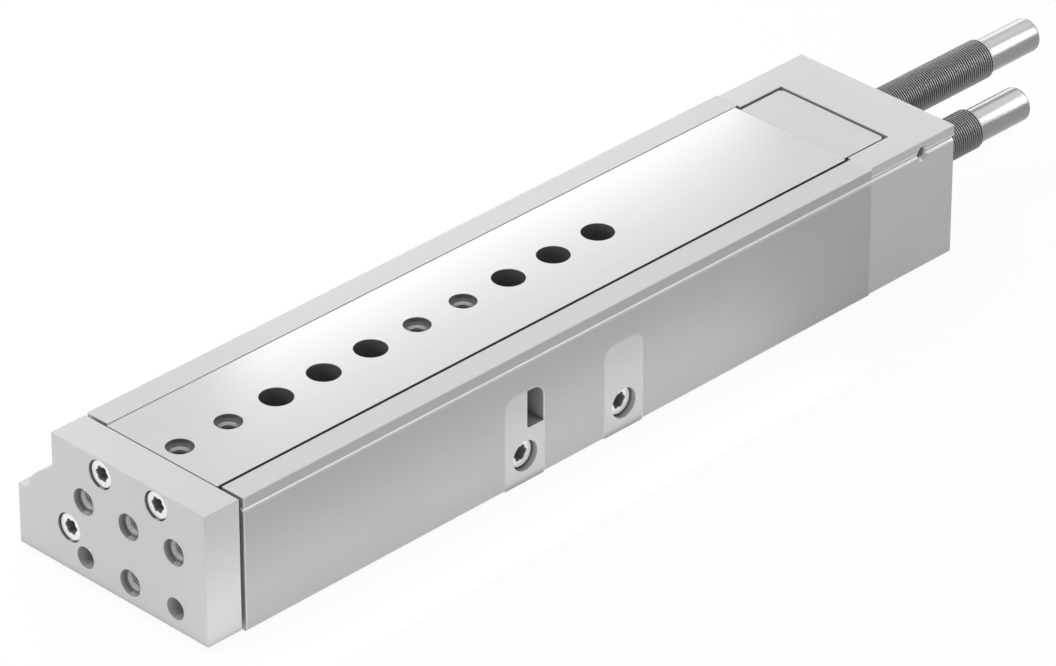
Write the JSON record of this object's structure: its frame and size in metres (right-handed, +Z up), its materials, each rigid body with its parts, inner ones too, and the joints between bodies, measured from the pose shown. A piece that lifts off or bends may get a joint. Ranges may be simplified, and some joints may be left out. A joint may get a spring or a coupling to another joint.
{
  "type": "pneumatic slide table",
  "caption": "Compact pneumatic slide table: a ball-guided ground steel table with front yoke plate, driven by a cylinder in the body's wing, with screw-in dampers as end stops.",
  "frame": {"origin": "centre of the front centring hole in the body's underside, in that face", "axes": "+X the way the table advances, towards the yoke plate; +Z up, out of the table; +Y completes a right-handed frame and points to the side with the inserts"},
  "size_m": [0.4236, 0.0851, 0.0478],
  "materials": {
    "body_aluminium": "clear anodised, satin",
    "plate_aluminium": "clear anodised, satin",
    "insert_aluminium": "clear anodised, satin",
    "ground_steel": "ground and hardened",
    "rail_steel": "hardened, ground",
    "screw_steel": "zinc plated",
    "sleeve_steel": "blackened, fine thread",
    "damper_steel": "polished",
    "rod_steel": "hard chromed",
    "inner_aluminium": "turned",
    "ball_steel": "polished",
    "seal_rubber": "moulded",
    "bush_brass": "turned",
    "cage_plastic": "moulded",
    "tip_plastic": "moulded",
    "magnet_iron": "sintered"
  },
  "bodies": {
    "housing": {"housing": "body_aluminium", "guide_rail_left": "rail_steel", "guide_rail_right": "rail_steel", "rear_cap": "body_aluminium", "cap_screws": "screw_steel", "sleeve_clamp_screw": "sleeve_steel", "stop_block": "insert_aluminium", "blank_block": "insert_aluminium", "block_screws": "screw_steel", "rod_gland": "inner_aluminium", "gland_o_ring": "seal_rubber", "rod_seal": "seal_rubber", "gland_circlip": "sleeve_steel", "retract_stop_sleeve": "sleeve_steel", "retract_damper_body": "damper_steel", "retract_damper_bush": "bush_brass"},
    "table": {"slide_table": "ground_steel", "yoke_plate": "plate_aluminium", "yoke_screws": "screw_steel", "rod_screw": "screw_steel", "piston_rod": "rod_steel", "piston": "inner_aluminium", "piston_seals": "seal_rubber", "piston_magnet": "magnet_iron", "piston_guide_ring": "tip_plastic", "piston_nut": "screw_steel", "tail_block": "plate_aluminium", "tail_screws": "screw_steel", "advance_stop_sleeve": "sleeve_steel", "advance_damper_body": "damper_steel", "advance_damper_bush": "bush_brass"},
    "cage_left": {"ball_cage_left": "cage_plastic", "balls_left": "ball_steel"},
    "cage_right": {"ball_cage_right": "cage_plastic", "balls_right": "ball_steel"},
    "retract_plunger": {"retract_plunger": "rod_steel", "retract_plunger_tip": "tip_plastic"},
    "advance_plunger": {"advance_plunger": "rod_steel", "advance_plunger_tip": "tip_plastic"}
  },
  "joints": [
    {"name": "table_slide", "type": "slide", "parent": "housing", "child": "table", "axis": [1, 0, 0], "range_m": [0, 0.15]},
    {"name": "cage_left_slide", "type": "slide", "parent": "housing", "child": "cage_left", "axis": [1, 0, 0], "range_m": [0, 0.075]},
    {"name": "cage_right_slide", "type": "slide", "parent": "housing", "child": "cage_right", "axis": [1, 0, 0], "range_m": [0, 0.075]},
    {"name": "retract_plunger_slide", "type": "slide", "parent": "housing", "child": "retract_plunger", "axis": [-1, 0, 0], "range_m": [0, 0.005], "stiffness_N_per_m": 500, "springref_m": -0.01},
    {"name": "advance_plunger_slide", "type": "slide", "parent": "table", "child": "advance_plunger", "axis": [-1, 0, 0], "range_m": [0, 0.005], "stiffness_N_per_m": 500, "springref_m": -0.01}
  ],
  "couplings": [
    {"joint": "cage_left_slide", "follows": "table_slide", "ratio": 0.5},
    {"joint": "cage_right_slide", "follows": "table_slide", "ratio": 0.5}
  ]
}
